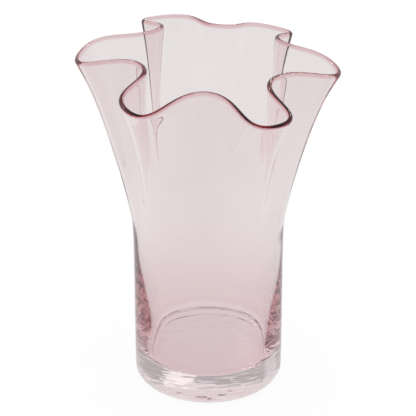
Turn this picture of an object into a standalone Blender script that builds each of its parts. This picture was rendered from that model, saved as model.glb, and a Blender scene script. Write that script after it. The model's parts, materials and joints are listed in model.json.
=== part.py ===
"""A blown glass vase with a round body, a thick heel and a wide ruffled rim.

The vase starts as a straight tumbler, turned about +Z, and its upper wall is then laid on a ruffled
surface that opens from the round waist to the wavy line of the rim. Sizes are in metres. The origin is
the middle of the underside, and the viewer stands on the -Y side.
"""

import math

import bpy
import numpy as np
from mathutils import Vector
from mathutils.geometry import interpolate_bezier

# Body and heel
BODY_DIAMETER = 0.110
WALL = 0.0030
FLOOR_THICKNESS = 0.021
HEEL_RADIUS = 0.006

# The inside of the bowl as a Bezier line of radius and height, from the flat floor up to the even wall:
# each knot with its handle's length before and after, and the line's direction there in degrees.
BOWL_HEIGHT = 0.108
BOWL_TURNS = (
    (0.0388, FLOOR_THICKNESS, 0.0, 0.0036, 0),
    (0.0456, 0.0243, 0.0030, 0.0160, 86),
    (BODY_DIAMETER / 2 - WALL, BOWL_HEIGHT, 0.0300, 0.0, 90),
)
BOWL_LEAN = 0.005  # how much lower the bowl's side stands at the right than in the middle

# Ruffled upper wall
WAIST_HEIGHT = 0.119
TROUGH_HEIGHT = 0.2573  # where the rim stands straight above the body's side
RIM_DROOP = 0.20  # how far the rim falls for each metre that it reaches out past the body
LIP_THICKNESS = 0.0042
LIP_FLICK = 0.6  # how much the wall holds back below the lip, to turn out faster at it
LIP_SWELL = 8  # how late the wall swells to the lip: at 1 it would swell evenly from the waist

# The rim's turns in plan, counterclockwise from the right: direction in degrees, reach from the axis,
# how far the line runs on to each side before it turns, degrees that it leans out of square, how the wall
# opens below it, and degrees that its foot on the round waist is carried on counterclockwise. An opening
# of 1 is a straight line from the waist, and more stays upright longer.
RIM_TURNS = (
    (2, 0.0908, 0.032, 19, 1.45, 0),  # lobe at the right
    (35, 0.0610, 0.019, -15, 1.40, 0),
    (52, 0.0795, 0.033, 14, 1.35, 0),  # lobe at the back right
    (81, 0.0560, 0.020, 0, 1.35, 3),
    (113, 0.0955, 0.036, -10, 1.15, 14),  # lobe at the back left
    (126.3, 0.0642, 0.028, 8, 1.20, 14),
    (161, 0.0965, 0.046, 0, 1.31, 4),  # lobe at the left
    (190, 0.0505, 0.032, 27, 1.25, 0),
    (230, 0.0880, 0.034, -18, 1.35, 0),  # lobe at the front left
    (268, 0.0540, 0.027, -3, 1.35, 0),
    (299, 0.0992, 0.032, 0, 1.35, 0),  # lobe at the front right
    (329, 0.0555, 0.031, -12, 1.45, 0),
)

# Fineness of the mesh
SIDES = 108
FLARE_RINGS = 13
ARC_STEPS = 5
BEZIER_STEPS = 60
BOWL_STEPS = 6

BODY_RADIUS = BODY_DIAMETER / 2
INNER_RADIUS = BODY_RADIUS - WALL
MID_RADIUS = BODY_RADIUS - WALL / 2

GLASS_COLOUR = (0.93, 0.84, 0.85, 1.0)
GLASS_ROUGHNESS = 0.02
GLASS_IOR = 1.5


def clear_scene():
    for obj in list(bpy.data.objects):
        bpy.data.objects.remove(obj, do_unlink=True)


def glass_material():
    material = bpy.data.materials.new("pink_glass")
    material.use_nodes = True
    shader = material.node_tree.nodes["Principled BSDF"]
    shader.inputs["Base Color"].default_value = GLASS_COLOUR
    shader.inputs["Roughness"].default_value = GLASS_ROUGHNESS
    shader.inputs["Metallic"].default_value = 0.0
    shader.inputs["IOR"].default_value = GLASS_IOR
    shader.inputs["Transmission Weight"].default_value = 1.0
    return material


def arc(centre_r, centre_z, radius, start, end, steps):
    """Points (r, z) on an arc, from start to end in degrees."""
    angles = [math.radians(start + (end - start) * i / steps) for i in range(steps + 1)]
    return [(centre_r + radius * math.cos(a), centre_z + radius * math.sin(a)) for a in angles]


def half_wall(height):
    """Half the wall's thickness, which swells to a bead at the lip."""
    share = (height - WAIST_HEIGHT) / (TROUGH_HEIGHT - WAIST_HEIGHT)
    return (WALL + (LIP_THICKNESS - WALL) * share**LIP_SWELL) / 2


def bowl_line():
    """Points (r, z) inside the bowl, from the edge of the flat floor to the even wall."""
    line = []
    for (r, z, _, after, angle), (next_r, next_z, before, _, next_angle) in zip(BOWL_TURNS, BOWL_TURNS[1:]):
        way = Vector((math.cos(math.radians(angle)), math.sin(math.radians(angle))))
        next_way = Vector((math.cos(math.radians(next_angle)), math.sin(math.radians(next_angle))))
        start, end = Vector((r, z)), Vector((next_r, next_z))
        points = interpolate_bezier(start, start + way * after, end - next_way * before, end, BOWL_STEPS + 1)
        line += points[1 if line else 0:]
    return [(point.x, point.y) for point in line]


def tumbler_profile():
    """Half section of the straight tumbler: over the floor, up inside, round the lip, down outside."""
    step = (TROUGH_HEIGHT - WAIST_HEIGHT) / FLARE_RINGS
    rings = [WAIST_HEIGHT + step * i for i in range(FLARE_RINGS)]
    heel_edge = BODY_RADIUS - HEEL_RADIUS
    profile = [(0.0, FLOOR_THICKNESS)]
    profile += bowl_line()
    profile += [(MID_RADIUS - half_wall(z), z) for z in rings]
    profile += arc(MID_RADIUS, TROUGH_HEIGHT, LIP_THICKNESS / 2, 180, 0, ARC_STEPS)
    profile += [(MID_RADIUS + half_wall(z), z) for z in reversed(rings)]
    profile += arc(heel_edge, HEEL_RADIUS, HEEL_RADIUS, 0, -90, ARC_STEPS)
    profile.append((0.0, 0.0))
    return profile


def turned_mesh(profile):
    """The profile turned about Z, as a mesh."""
    mesh = bpy.data.meshes.new("tumbler_profile")
    edges = [(i, i + 1) for i in range(len(profile) - 1)]
    mesh.from_pydata([(r, 0.0, z) for r, z in profile], edges, [])
    obj = bpy.data.objects.new("tumbler_profile", mesh)
    bpy.context.scene.collection.objects.link(obj)
    screw = obj.modifiers.new("turn", "SCREW")
    screw.axis = "Z"
    screw.steps = SIDES
    screw.render_steps = SIDES
    screw.use_merge_vertices = True
    screw.merge_threshold = 1e-5
    graph = bpy.context.evaluated_depsgraph_get()
    turned = bpy.data.meshes.new_from_object(obj.evaluated_get(graph))
    bpy.data.objects.remove(obj, do_unlink=True)
    bpy.data.meshes.remove(mesh)
    return turned


def rim_knots():
    """Each turn of the rim as its Bezier knot: handle before, point, handle after."""
    knots = []
    for direction, reach, spread, lean, _, _ in RIM_TURNS:
        around = math.radians(direction)
        along = around + math.pi / 2 + math.radians(lean)
        point = Vector((reach * math.cos(around), reach * math.sin(around)))
        handle = Vector((spread * math.cos(along), spread * math.sin(along)))
        knots.append((point - handle, point, point + handle))
    return knots


def rim_line():
    """The whole rim in plan, closely spaced: x, y, the wall's opening and how far its foot is carried on."""
    knots = rim_knots()
    walls = np.array([turn[-2:] for turn in RIM_TURNS])
    share = np.arange(BEZIER_STEPS - 1)[:, None] / (BEZIER_STEPS - 1)
    share = share * share * (3 - 2 * share)
    line = []
    for i, (this, after) in enumerate(zip(knots, knots[1:] + knots[:1])):
        points = interpolate_bezier(this[1], this[2], after[0], after[1], BEZIER_STEPS)[:-1]
        change = walls[(i + 1) % len(walls)] - walls[i]
        line.append(np.hstack([np.array(points), walls[i] + change * share]))
    return np.vstack(line)


def rim_points():
    """SIDES points along the rim, each above its own side of the round body, and openings."""
    line = rim_line()
    steps = np.hypot(*(np.roll(line, -1, axis=0) - line)[:, :2].T)
    run = np.concatenate([[0.0], np.cumsum(steps)])
    turn = 2 * math.pi * run[:-1] / run[-1]
    turn += np.mean(np.unwrap(np.arctan2(line[:, 1], line[:, 0])) - turn) + np.radians(line[:, 3])
    wanted = (2 * math.pi * np.arange(SIDES) / SIDES - turn[0]) % (2 * math.pi)
    closed = np.vstack([line, line[:1]])
    turn = np.append(turn - turn[0], 2 * math.pi)
    x, y, opening = (np.interp(wanted, turn, closed[:, i]) for i in range(3))
    z = TROUGH_HEIGHT - RIM_DROOP * (np.hypot(x, y) - BODY_RADIUS)
    return np.column_stack([x, y, z]), opening[:, None]


def waist_points():
    angles = 2 * math.pi * np.arange(SIDES) / SIDES
    return np.column_stack([
        MID_RADIUS * np.cos(angles),
        MID_RADIUS * np.sin(angles),
        np.full(SIDES, WAIST_HEIGHT),
    ])


def wall_ring(waist, rim, opening, share):
    """The middle of the wall, at a share of the way from the waist to the rim."""
    ring = waist + (rim - waist) * (share**opening - LIP_FLICK * share**4 * (1 - share))
    ring[:, 2] = WAIST_HEIGHT + (rim[:, 2] - WAIST_HEIGHT) * share
    return ring


def unit(vectors):
    return vectors / np.linalg.norm(vectors, axis=1)[:, None]


def ruffle(mesh):
    """Moves the tumbler's wall above the waist onto the ruffled surface, at its own thickness."""
    waist = waist_points()
    rim, opening = rim_points()
    small = 1e-3
    rings = {}
    for vertex in mesh.vertices:
        x, y, z = vertex.co
        if z < WAIST_HEIGHT + small:
            continue
        share = min((z - WAIST_HEIGHT) / (TROUGH_HEIGHT - WAIST_HEIGHT), 1.0)
        key = round(share, 4)
        if key not in rings:
            middle = wall_ring(waist, rim, opening, share)
            upward = unit(middle - wall_ring(waist, rim, opening, share - small))
            around = np.roll(middle, -1, axis=0) - np.roll(middle, 1, axis=0)
            rings[key] = middle, upward, unit(np.cross(around, upward))
        middle, upward, outward = rings[key]
        side = round(math.atan2(y, x) * SIDES / (2 * math.pi)) % SIDES
        aside = math.hypot(x, y) - MID_RADIUS
        above = max(z - TROUGH_HEIGHT, 0.0)
        vertex.co = middle[side] + aside * outward[side] + above * upward[side]


def lean_bowl(mesh):
    """Lowers the bowl's inner side at the right and raises it at the left, as the glass set unevenly."""
    small = 1e-4
    for vertex in mesh.vertices:
        x, y, z = vertex.co
        r = math.hypot(x, y)
        if FLOOR_THICKNESS + small < z < BOWL_HEIGHT - small and r < BODY_RADIUS - small:
            share = (z - FLOOR_THICKNESS) / (BOWL_HEIGHT - FLOOR_THICKNESS)
            vertex.co.z -= BOWL_LEAN * x / r * 4 * share * (1 - share)


def main():
    clear_scene()
    mesh = turned_mesh(tumbler_profile())
    mesh.name = "vase"
    lean_bowl(mesh)
    ruffle(mesh)
    mesh.materials.append(glass_material())
    mesh.shade_smooth()
    collection = bpy.data.collections.new("wavy_glass_vase")
    bpy.context.scene.collection.children.link(collection)
    collection.objects.link(bpy.data.objects.new("vase", mesh))


main()
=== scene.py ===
"""Looks of the ruffled glass vase: the blown glass, its pink tint and clear heel, and the white stage."""

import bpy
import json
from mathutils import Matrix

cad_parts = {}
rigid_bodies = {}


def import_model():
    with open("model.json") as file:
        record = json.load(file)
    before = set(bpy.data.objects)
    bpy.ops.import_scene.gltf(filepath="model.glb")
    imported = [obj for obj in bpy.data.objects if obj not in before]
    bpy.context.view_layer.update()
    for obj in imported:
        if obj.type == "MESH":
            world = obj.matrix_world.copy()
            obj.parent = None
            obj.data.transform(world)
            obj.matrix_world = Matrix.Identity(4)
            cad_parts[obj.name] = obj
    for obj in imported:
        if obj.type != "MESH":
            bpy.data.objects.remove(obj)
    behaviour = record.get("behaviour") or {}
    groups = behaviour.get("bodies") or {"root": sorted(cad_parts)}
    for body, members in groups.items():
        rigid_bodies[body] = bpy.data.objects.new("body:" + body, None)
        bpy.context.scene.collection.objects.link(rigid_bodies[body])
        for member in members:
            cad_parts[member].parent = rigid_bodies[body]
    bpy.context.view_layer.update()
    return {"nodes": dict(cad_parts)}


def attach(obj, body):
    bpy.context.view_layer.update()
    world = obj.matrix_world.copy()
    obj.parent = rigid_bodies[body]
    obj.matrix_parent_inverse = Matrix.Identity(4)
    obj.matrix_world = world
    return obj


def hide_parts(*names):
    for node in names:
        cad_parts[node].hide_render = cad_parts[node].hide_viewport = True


bl_info = {
    "name": "Ruffled glass vase",
    "version": (1, 0, 0),
    "blender": (4, 5, 0),
    "location": "View3D > Sidebar > Vase",
    "description": "Refines the blown glass vase and sets the stage around it",
    "category": "Object",
}

import json
import math

import bpy
from mathutils import Vector

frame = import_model()

NODE = "vase"
BODY = "root"

# Form
MERGE_DISTANCE = 1e-6
QUAD_ANGLE = math.radians(60)  # up to this bend, two triangles become one four-sided face
FLAT_HEIGHT = 1e-5  # below this, a face belongs to the flat underside
UNDERSIDE_SPAN = 27  # faces along each side of the underside's grid, a quarter of those round its edge
CLOUD_DEPTH = 1  # how many finer clouds lie on the slow ones
EVEN_MIDDLE = 0.5  # a cloud of this value moves nothing, so the surface goes in as much as out
ONLY_UP = 0.0  # clouds of every value move the surface up

# Glass
GLASS_IOR = 1.5
HEEL_BLUR = 0.001  # how far below and above its edge the clear heel turns pink
HEEL_DISH = 4.0  # how late the heel's edge rises towards the body's side: at 1 it would rise evenly
LOW_SHARE = 0.73  # share of the rim's height below which the glass colours light more strongly

# The room and floor as glass and gloss show them. In the room, a reach or height is part of a direction of
# length 1, and on the floor a reach is in metres. A shade starts at a share of the reach.
ROOM_REACH = 0.8
FLOOR_REACH = 0.4
FRONT_START = 0.1
LEFT_START = 0.5
RIGHT_START = 0.2
LEFT_SLANT = 0.9  # how far the shade at the left turns towards the front: at 0 it lies straight aside
TOP_HEIGHTS = (0.3, 0.55)  # where the shade above starts and where it is whole
CONTACT_REACHES = (0.22, 0.08)  # where the shade near the vase starts and where it is whole
WINDOW_EDGE = (0.978, 0.988)  # cosines of the angles from a window's middle where it starts and is whole
WINDOWS = (  # direction, and share of the window light
    ((0.275, 0.79, 0.548), 1.0),
    ((-0.70, 0.45, 0.553), 0.4),
)
DARKEST = 0.05
CAMERA_WHITE = 1.03

# Floor and lamps
WHITE = (1.0, 1.0, 1.0, 1.0)
FLOOR_COLOUR = (0.9, 0.9, 0.9, 1.0)
FLOOR_SIZE = 8.0
FLOOR_DROP = 0.0003  # how far the floor lies below the underside
FLOOR_GLOW = 0.9  # how much of the floor's look is its own white, and not the light that falls on it
LAMP_SIZE = 0.14
LAMP_AIM = Vector((0.0, 0.0, 0.13))
LAMP_PLACES = {"left lamp": (-0.9, 0.9, 1.3), "right lamp": (0.54, 1.2, 1.3)}
LIGHT_BOUNCES = 96


class GlassSettings(bpy.types.PropertyGroup):
    """Form and finish of the blown glass."""

    smoothing: bpy.props.IntProperty(
        name="Smoothing",
        description="How often each face of the plain form is halved",
        default=2,
        min=0,
        max=3,
    )
    waviness: bpy.props.FloatProperty(
        name="Waviness",
        description="How far the hand-blown walls wander in thickness",
        default=0.0003,
        subtype="DISTANCE",
        unit="LENGTH",
    )
    wave_length: bpy.props.FloatProperty(
        name="Wave length",
        description="Size of the slow waves in the walls",
        default=0.045,
        subtype="DISTANCE",
        unit="LENGTH",
    )
    heel_waviness: bpy.props.FloatProperty(
        name="Waviness below",
        description="How far the underside rises and falls",
        default=0.0007,
        subtype="DISTANCE",
        unit="LENGTH",
    )
    heel_wave_length: bpy.props.FloatProperty(
        name="Wave length below",
        description="Size of the waves in the underside",
        default=0.009,
        subtype="DISTANCE",
        unit="LENGTH",
    )
    heel_top: bpy.props.FloatProperty(
        name="Top of the heel",
        description="Height at which the clear heel ends at the body's side",
        default=0.027,
        subtype="DISTANCE",
        unit="LENGTH",
    )
    heel_core: bpy.props.FloatProperty(
        name="Core of the heel",
        description="Height at which the clear heel ends under the middle of the bowl",
        default=0.0195,
        subtype="DISTANCE",
        unit="LENGTH",
    )
    body_radius: bpy.props.FloatProperty(
        name="Body radius",
        description="Radius of the round lower body",
        default=0.055,
        subtype="DISTANCE",
        unit="LENGTH",
    )
    rim_height: bpy.props.FloatProperty(
        name="Rim height",
        description="Height of the rim where it stands straight above the body's side",
        default=0.2573,
        subtype="DISTANCE",
        unit="LENGTH",
    )
    rim_droop: bpy.props.FloatProperty(
        name="Rim droop",
        description="How far the rim falls for each metre that it reaches out past the body",
        default=0.20,
    )
    # Depth of the band along the lip in which the shade is painted.
    lip_depth: bpy.props.FloatProperty(
        name="Lip tint depth",
        description="How far down from the rim the deeper tint fades",
        default=0.0016,
        subtype="DISTANCE",
        unit="LENGTH",
    )
    # Painted shade: the glass along the lip colours light this many times more strongly, to darken the rim
    # band as long light paths in the rim would.
    lip_shade_strength: bpy.props.FloatProperty(
        name="Deeper at the lip",
        description="How much more strongly the lip's glass colours light, as a share",
        default=10.0,
    )
    surface_tint: bpy.props.FloatVectorProperty(
        name="Surface tint",
        description="Pale pink of the walls",
        default=(0.985, 0.945, 0.947),
        subtype="COLOR",
        size=3,
    )
    heel_tint: bpy.props.FloatVectorProperty(
        name="Heel tint",
        description="The heel's glass, clear with a breath of pink",
        default=(0.97, 0.85, 0.875),
        subtype="COLOR",
        size=3,
    )
    # Painted shade: a slightly deeper surface tint along the lip, in place of the dark band that light guided
    # through the rim gives.
    lip_shade_tint: bpy.props.FloatVectorProperty(
        name="Lip tint",
        description="Deeper pink along the fire-polished lip",
        default=(0.985, 0.93, 0.935),
        subtype="COLOR",
        size=3,
    )
    depth_tint: bpy.props.FloatVectorProperty(
        name="Depth tint",
        description="Colour that light keeps on its way through the glass",
        default=(0.76, 0.36, 0.40),
        subtype="COLOR",
        size=3,
    )
    density: bpy.props.FloatProperty(
        name="Depth of colour",
        description="How strongly a metre of the pink glass colours light",
        default=14.0,
    )
    low_depth: bpy.props.FloatProperty(
        name="Deeper below",
        description="How much more strongly the glass just above the heel colours light, as a share",
        default=0.9,
    )


class StageSettings(bpy.types.PropertyGroup):
    """Camera, floor and light."""

    elevation: bpy.props.FloatProperty(
        name="Elevation",
        description="How far the camera looks down",
        default=math.radians(29.02),
        subtype="ANGLE",
        unit="ROTATION",
    )
    distance: bpy.props.FloatProperty(
        name="Distance",
        description="From the camera to the point that it looks at",
        default=2.0,
        subtype="DISTANCE",
        unit="LENGTH",
    )
    aim_height: bpy.props.FloatProperty(
        name="Aim height",
        description="Height of the point that the camera looks at",
        default=0.1369,
        subtype="DISTANCE",
        unit="LENGTH",
    )
    aim_aside: bpy.props.FloatProperty(
        name="Aim aside",
        description="How far to the side the camera looks",
        default=-0.0003,
        subtype="DISTANCE",
        unit="LENGTH",
    )
    lens: bpy.props.FloatProperty(
        name="Lens",
        description="Focal length of the camera, in millimetres",
        default=236.0,
    )
    backdrop: bpy.props.FloatProperty(
        name="Backdrop in glass",
        description="Brightness of the backdrop behind the vase, as glass and gloss show it",
        default=0.85,
        min=0.0,
        max=1.0,
    )
    front_shade: bpy.props.FloatProperty(
        name="Shade in front",
        description="How much darker glass and gloss show the floor and room in front of the vase",
        default=0.36,
        min=0.0,
        max=1.0,
    )
    left_shade: bpy.props.FloatProperty(
        name="Shade at the left",
        description="How much darker glass and gloss show the floor and room at the front left",
        default=0.26,
        min=0.0,
        max=1.0,
    )
    right_shade: bpy.props.FloatProperty(
        name="Shade at the right",
        description="How much darker glass and gloss show the floor and room at the right",
        default=0.10,
        min=0.0,
        max=1.0,
    )
    top_shade: bpy.props.FloatProperty(
        name="Shade above",
        description="How much darker glass and gloss show the room above the vase",
        default=0.46,
        min=0.0,
        max=1.0,
    )
    window_light: bpy.props.FloatProperty(
        name="Window light",
        description="How much brighter glass and gloss show the two windows above and behind the vase",
        default=0.5,
    )
    contact_shade: bpy.props.FloatProperty(
        name="Shade near the vase",
        description="How much darker glass shows the floor close around the vase",
        default=0.03,
        min=0.0,
        max=1.0,
    )
    room_light: bpy.props.FloatProperty(
        name="Room light",
        description="Strength of the even light from all sides",
        default=0.8,
    )
    lamp_power: bpy.props.FloatProperty(
        name="Lamp power",
        description="Power of each soft lamp",
        default=1.0,
        unit="POWER",
    )


def activate(obj):
    """Selects this object alone and makes it the active one."""
    bpy.ops.object.select_all(action="DESELECT")
    obj.select_set(True)
    bpy.context.view_layer.objects.active = obj


def apply_modifier(obj, modifier):
    """Applies the modifier, and leaves the object selected alone."""
    activate(obj)
    bpy.ops.object.modifier_apply(modifier=modifier.name)


def plain_copy(node, name):
    """A copy of a CAD node with its loose triangles merged and turned back into four-sided faces."""
    obj = bpy.data.objects.new(name, frame["nodes"][node].data.copy())
    bpy.context.scene.collection.objects.link(obj)
    activate(obj)
    bpy.ops.mesh.customdata_custom_splitnormals_clear()
    bpy.ops.object.mode_set(mode="EDIT")
    bpy.ops.mesh.select_all(action="SELECT")
    bpy.ops.mesh.remove_doubles(threshold=MERGE_DISTANCE)
    bpy.ops.mesh.mark_sharp(clear=True)
    bpy.ops.mesh.tris_convert_to_quads(face_threshold=QUAD_ANGLE, shape_threshold=QUAD_ANGLE)
    bpy.ops.object.mode_set(mode="OBJECT")
    obj.data.materials.clear()
    return obj


def even_underside(obj):
    """Rebuilds the flat round underside as an even grid, and puts its inside in a vertex group."""
    group = obj.vertex_groups.new(name="underside")
    activate(obj)
    bpy.ops.object.mode_set(mode="EDIT")
    bpy.ops.mesh.select_mode(type="FACE")
    bpy.ops.mesh.select_all(action="DESELECT")
    bpy.ops.object.mode_set(mode="OBJECT")
    for face in obj.data.polygons:
        face.select = face.center.z < FLAT_HEIGHT
    bpy.ops.object.mode_set(mode="EDIT")
    bpy.ops.mesh.delete(type="FACE")
    bpy.ops.mesh.select_mode(type="VERT")
    bpy.ops.mesh.select_non_manifold()
    bpy.ops.mesh.fill_grid(span=UNDERSIDE_SPAN)
    bpy.ops.mesh.select_less()
    obj.vertex_groups.active_index = group.index
    bpy.ops.object.vertex_group_assign()
    bpy.ops.mesh.select_all(action="SELECT")
    bpy.ops.mesh.normals_make_consistent(inside=False)
    bpy.ops.object.mode_set(mode="OBJECT")


def smooth_form(obj, levels):
    """Rounds the plain form by halving its faces this many times."""
    subdivision = obj.modifiers.new("smooth form", "SUBSURF")
    subdivision.levels = levels
    subdivision.render_levels = levels
    apply_modifier(obj, subdivision)
    bpy.ops.object.shade_smooth()


def displace(obj, group, size, strength, direction, middle):
    """Moves the vertex group's surface by slow clouds of this size."""
    clouds = bpy.data.textures.new(group, "CLOUDS")
    clouds.noise_scale = size
    clouds.noise_depth = CLOUD_DEPTH
    waves = obj.modifiers.new(group, "DISPLACE")
    waves.texture = clouds
    waves.texture_coords = "LOCAL"
    waves.strength = strength
    waves.direction = direction
    waves.mid_level = middle
    waves.vertex_group = group
    apply_modifier(obj, waves)


def wander(obj, settings):
    """Lets the walls above the heel wander in thickness, and the underside in height, as blown glass does."""
    walls = obj.vertex_groups.new(name="walls")
    above = [v.index for v in obj.data.vertices if v.co.z > settings.heel_top]
    walls.add(above, 1.0, "REPLACE")
    displace(obj, "walls", settings.wave_length, settings.waviness, "NORMAL", EVEN_MIDDLE)
    displace(obj, "underside", settings.heel_wave_length, settings.heel_waviness, "Z", ONLY_UP)


def add_node(tree, kind, **values):
    """A new node of this kind, with these of its settings."""
    node = tree.nodes.new(kind)
    for key, value in values.items():
        setattr(node, key, value)
    return node


def math_node(tree, operation, *inputs):
    """A Math node whose inputs are numbers or other nodes' sockets, and its output."""
    node = add_node(tree, "ShaderNodeMath", operation=operation)
    for socket, value in zip(node.inputs, inputs):
        if isinstance(value, (int, float)):
            socket.default_value = value
        else:
            tree.links.new(value, socket)
    return node.outputs[0]


def fade(tree, value, start, end):
    """0 at start, rising smoothly to 1 at end. The start may be the higher number."""
    node = add_node(tree, "ShaderNodeMapRange", interpolation_type="SMOOTHSTEP")
    tree.links.new(value, node.inputs["Value"])
    node.inputs["From Min"].default_value = start
    node.inputs["From Max"].default_value = end
    return node.outputs["Result"]


def grow(tree, value, start, end, most):
    """0 at start, rising smoothly to the most at end."""
    return math_node(tree, "MULTIPLY", fade(tree, value, start, end), most)


def coordinates(tree, place):
    """The x, y and z of a place or a direction."""
    split = add_node(tree, "ShaderNodeSeparateXYZ")
    tree.links.new(place, split.inputs[0])
    return split.outputs


def mix_colour(tree, factor, first, second):
    """The first colour where the factor is 0, and the second where it is 1."""
    node = add_node(tree, "ShaderNodeMix", data_type="RGBA")
    tree.links.new(factor, node.inputs[0])
    for socket, value in ((node.inputs[6], first), (node.inputs[7], second)):
        if isinstance(value, tuple):
            socket.default_value = value
        else:
            tree.links.new(value, socket)
    return node.outputs[2]


def rim_at(tree, radius, settings):
    """Height of the rim where it stands this far from the axis."""
    past_body = math_node(tree, "SUBTRACT", radius, settings.body_radius)
    fall = math_node(tree, "MULTIPLY", past_body, settings.rim_droop)
    return math_node(tree, "SUBTRACT", settings.rim_height, fall)


def heel_edge_at(tree, radius, settings):
    """Height at which the clear heel ends, this far from the axis."""
    share = math_node(tree, "DIVIDE", radius, settings.body_radius)
    dish = math_node(tree, "POWER", share, HEEL_DISH)
    rise = math_node(tree, "MULTIPLY", dish, settings.heel_top - settings.heel_core)
    return math_node(tree, "ADD", rise, settings.heel_core)


def place_masks(tree, settings):
    """Masks over the vase from its own coordinates: the pink glass, the lip where shade is painted, and how
    low a place lies.
    """
    x, y, z = coordinates(tree, add_node(tree, "ShaderNodeTexCoord").outputs["Object"])
    squares = math_node(tree, "ADD", math_node(tree, "MULTIPLY", x, x), math_node(tree, "MULTIPLY", y, y))
    radius = math_node(tree, "SQRT", squares)
    above_heel = math_node(tree, "SUBTRACT", z, heel_edge_at(tree, radius, settings))
    below_rim = math_node(tree, "SUBTRACT", rim_at(tree, radius, settings), z)
    pink = fade(tree, above_heel, -HEEL_BLUR, HEEL_BLUR)
    lip = math_node(tree, "SUBTRACT", 1.0, fade(tree, below_rim, 0.0, settings.lip_depth))
    low = fade(tree, z, settings.rim_height * LOW_SHARE, settings.heel_top)
    return pink, lip, low


def colour_depth(tree, pink, lip, low, settings):
    """How strongly the glass colours light on its way: more so low down, and most along the lip, where the
    extra colour is painted shade.
    """
    deeper = math_node(tree, "MULTIPLY_ADD", low, settings.low_depth, 1.0)
    walls = math_node(tree, "MULTIPLY", pink, deeper)
    # Painted shade: denser colour along the lip darkens the rim band.
    painted_lip_shade = math_node(tree, "MULTIPLY", lip, settings.lip_shade_strength)
    return math_node(tree, "MULTIPLY", math_node(tree, "ADD", walls, painted_lip_shade), settings.density)


def pink_glass(settings):
    """Clear blown glass, tinted above the heel: a little at its surface and more along its depth, with
    painted shade along the lip.
    """
    material = bpy.data.materials.new("pink_glass")
    material.use_nodes = True
    tree = material.node_tree
    shader = tree.nodes["Principled BSDF"]
    pink, lip, low = place_masks(tree, settings)
    walls = mix_colour(tree, pink, (*settings.heel_tint, 1.0), (*settings.surface_tint, 1.0))
    # Painted shade: the deeper tint along the lip.
    tint = mix_colour(tree, lip, walls, (*settings.lip_shade_tint, 1.0))
    tree.links.new(tint, shader.inputs["Base Color"])
    shader.inputs["Roughness"].default_value = 0.0
    shader.inputs["IOR"].default_value = GLASS_IOR
    shader.inputs["Transmission Weight"].default_value = 1.0
    depth = add_node(tree, "ShaderNodeVolumeAbsorption")
    depth.inputs["Color"].default_value = (*settings.depth_tint, 1.0)
    tree.links.new(colour_depth(tree, pink, lip, low, settings), depth.inputs["Density"])
    tree.links.new(depth.outputs[0], tree.nodes["Material Output"].inputs["Volume"])
    return material


class VASE_OT_glass(bpy.types.Operator):
    """Refine the blown form and give it its pink glass"""

    bl_idname = "vase.glass"
    bl_label = "Blow the glass"

    def execute(self, context):
        settings = context.scene.vase_glass
        vase = plain_copy(NODE, "blown_glass")
        even_underside(vase)
        smooth_form(vase, settings.smoothing)
        wander(vase, settings)
        vase.data.materials.append(pink_glass(settings))
        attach(vase, BODY)
        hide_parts(NODE)
        return {"FINISHED"}


def seen_directly(tree):
    """1 for what the camera, gloss and glass show, and 0 for what only lights; and 1 for the camera alone."""
    path = add_node(tree, "ShaderNodeLightPath")
    camera = path.outputs["Is Camera Ray"]
    seen = camera
    for name in ("Is Glossy Ray", "Is Transmission Ray"):
        seen = math_node(tree, "MAXIMUM", seen, path.outputs[name])
    return seen, camera


def dimmed(tree, light, share):
    """The light with this share of it taken away."""
    return math_node(tree, "MULTIPLY", light, math_node(tree, "SUBTRACT", 1.0, share))


def studio_light(tree, place, reach, settings):
    """How bright glass and gloss see the studio: darker in front, at the front left and at the right."""
    x, y, _ = coordinates(tree, place)
    aside = math_node(tree, "ADD", x, math_node(tree, "MULTIPLY", y, LEFT_SLANT))
    light = settings.backdrop
    for value, start, end, shade in (
        (y, -FRONT_START, -1, settings.front_shade),
        (aside, -LEFT_START, -1, settings.left_shade),
        (x, RIGHT_START, 1, settings.right_shade),
    ):
        light = dimmed(tree, light, grow(tree, value, start * reach, end * reach, shade))
    return light


def white_to_camera(tree, light, camera):
    """White for the camera, and for glass and gloss this light, which is never quite black."""
    light = math_node(tree, "MAXIMUM", light, DARKEST)
    return math_node(tree, "MAXIMUM", light, math_node(tree, "MULTIPLY", camera, CAMERA_WHITE))


def window(tree, direction, place, light):
    """A round bright patch of the room, in this direction, as glass and gloss show it."""
    facing = add_node(tree, "ShaderNodeVectorMath", operation="DOT_PRODUCT")
    tree.links.new(direction, facing.inputs[0])
    facing.inputs[1].default_value = place
    return grow(tree, facing.outputs["Value"], *WINDOW_EDGE, light)


def end_tree(tree, output, factor, lit, shown):
    """Ends a node tree: the shown shader where the factor is 1, and the lit one where it is 0."""
    mix = add_node(tree, "ShaderNodeMixShader")
    for socket, value in zip(mix.inputs, (factor, lit.outputs[0], shown.outputs[0])):
        tree.links.new(value, socket)
    tree.links.new(mix.outputs[0], add_node(tree, output).inputs["Surface"])


def add_world(settings):
    """Even white light from all sides, and the room that glass and gloss show."""
    world = bpy.data.worlds.new("studio")
    bpy.context.scene.world = world
    world.use_nodes = True
    tree = world.node_tree
    tree.nodes.clear()
    seen, camera = seen_directly(tree)
    direction = add_node(tree, "ShaderNodeTexCoord").outputs["Generated"]
    even = add_node(tree, "ShaderNodeBackground")
    even.inputs["Strength"].default_value = settings.room_light
    room = add_node(tree, "ShaderNodeBackground")
    light = studio_light(tree, direction, ROOM_REACH, settings)
    height = coordinates(tree, direction)[2]
    light = dimmed(tree, light, grow(tree, height, *TOP_HEIGHTS, settings.top_shade))
    for place, share in WINDOWS:
        patch = window(tree, direction, place, settings.window_light * share)
        light = math_node(tree, "ADD", light, patch)
    tree.links.new(white_to_camera(tree, light, camera), room.inputs["Strength"])
    for node in (even, room):
        node.inputs["Color"].default_value = WHITE
    end_tree(tree, "ShaderNodeOutputWorld", seen, even, room)


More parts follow.
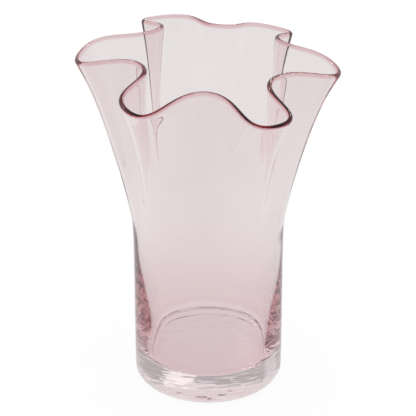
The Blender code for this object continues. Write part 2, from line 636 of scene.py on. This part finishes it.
def floor_material(settings):
    """Pale floor that shows white, with a faint shadow."""
    material = bpy.data.materials.new("white_floor")
    material.use_nodes = True
    tree = material.node_tree
    tree.nodes.clear()
    seen, camera = seen_directly(tree)
    place = add_node(tree, "ShaderNodeTexCoord").outputs["Object"]
    plain = add_node(tree, "ShaderNodeBsdfDiffuse")
    plain.inputs["Color"].default_value = FLOOR_COLOUR
    white = add_node(tree, "ShaderNodeEmission")
    light = studio_light(tree, place, FLOOR_REACH, settings)
    away = add_node(tree, "ShaderNodeVectorMath", operation="LENGTH")
    tree.links.new(place, away.inputs[0])
    near = grow(tree, away.outputs["Value"], *CONTACT_REACHES, settings.contact_shade)
    light = math_node(tree, "SUBTRACT", light, near)
    tree.links.new(white_to_camera(tree, light, camera), white.inputs["Strength"])
    glow = math_node(tree, "MULTIPLY", seen, FLOOR_GLOW)
    end_tree(tree, "ShaderNodeOutputMaterial", glow, plain, white)
    return material


def add_floor(settings):
    bpy.ops.object.select_all(action="DESELECT")
    bpy.ops.mesh.primitive_plane_add(size=FLOOR_SIZE, location=(0.0, 0.0, -FLOOR_DROP))
    floor = bpy.context.object
    floor.name = "floor"
    floor.data.materials.append(floor_material(settings))


def add_lamp(name, place, power):
    """A soft square lamp that faces the middle of the vase."""
    bpy.ops.object.select_all(action="DESELECT")
    bpy.ops.object.light_add(type="AREA", location=place)
    lamp = bpy.context.object
    lamp.name = name
    lamp.data.size = LAMP_SIZE
    lamp.data.energy = power
    lamp.rotation_euler = (LAMP_AIM - Vector(place)).to_track_quat("-Z", "Y").to_euler()


def add_camera(settings):
    aim = Vector((settings.aim_aside, 0.0, settings.aim_height))
    back = Vector((0.0, -math.cos(settings.elevation), math.sin(settings.elevation)))
    bpy.ops.object.select_all(action="DESELECT")
    bpy.ops.object.camera_add(location=aim + back * settings.distance)
    camera = bpy.context.object
    camera.name = "camera"
    camera.data.lens = settings.lens
    camera.rotation_euler = (math.pi / 2 - settings.elevation, 0.0, 0.0)
    bpy.context.scene.camera = camera


class VASE_OT_stage(bpy.types.Operator):
    """Add the floor, the studio light and the camera"""

    bl_idname = "vase.stage"
    bl_label = "Set the stage"

    def execute(self, context):
        settings = context.scene.vase_stage
        add_world(settings)
        add_floor(settings)
        for name, place in LAMP_PLACES.items():
            add_lamp(name, place, settings.lamp_power)
        add_camera(settings)
        scene = context.scene
        scene.view_settings.view_transform = "Standard"
        scene.cycles.max_bounces = LIGHT_BOUNCES
        scene.cycles.transmission_bounces = LIGHT_BOUNCES
        scene.cycles.glossy_bounces = LIGHT_BOUNCES
        return {"FINISHED"}


class VASE_PT_panel(bpy.types.Panel):
    """The vase's sizes and colours, with the steps that use them."""

    bl_idname = "VASE_PT_panel"
    bl_label = "Ruffled vase"
    bl_space_type = "VIEW_3D"
    bl_region_type = "UI"
    bl_category = "Vase"

    def draw(self, context):
        for settings, operator in (
            (context.scene.vase_glass, VASE_OT_glass),
            (context.scene.vase_stage, VASE_OT_stage),
        ):
            box = self.layout.box()
            for name in settings.__annotations__:
                box.prop(settings, name)
            box.operator(operator.bl_idname)


CLASSES = (GlassSettings, StageSettings, VASE_OT_glass, VASE_OT_stage, VASE_PT_panel)


def register():
    for cls in CLASSES:
        bpy.utils.register_class(cls)
    bpy.types.Scene.vase_glass = bpy.props.PointerProperty(type=GlassSettings)
    bpy.types.Scene.vase_stage = bpy.props.PointerProperty(type=StageSettings)


def unregister():
    del bpy.types.Scene.vase_stage
    del bpy.types.Scene.vase_glass
    for cls in reversed(CLASSES):
        bpy.utils.unregister_class(cls)


def main():
    register()
    bpy.ops.vase.stage()
    bpy.ops.vase.glass()


if __name__ == "__main__":
    main()
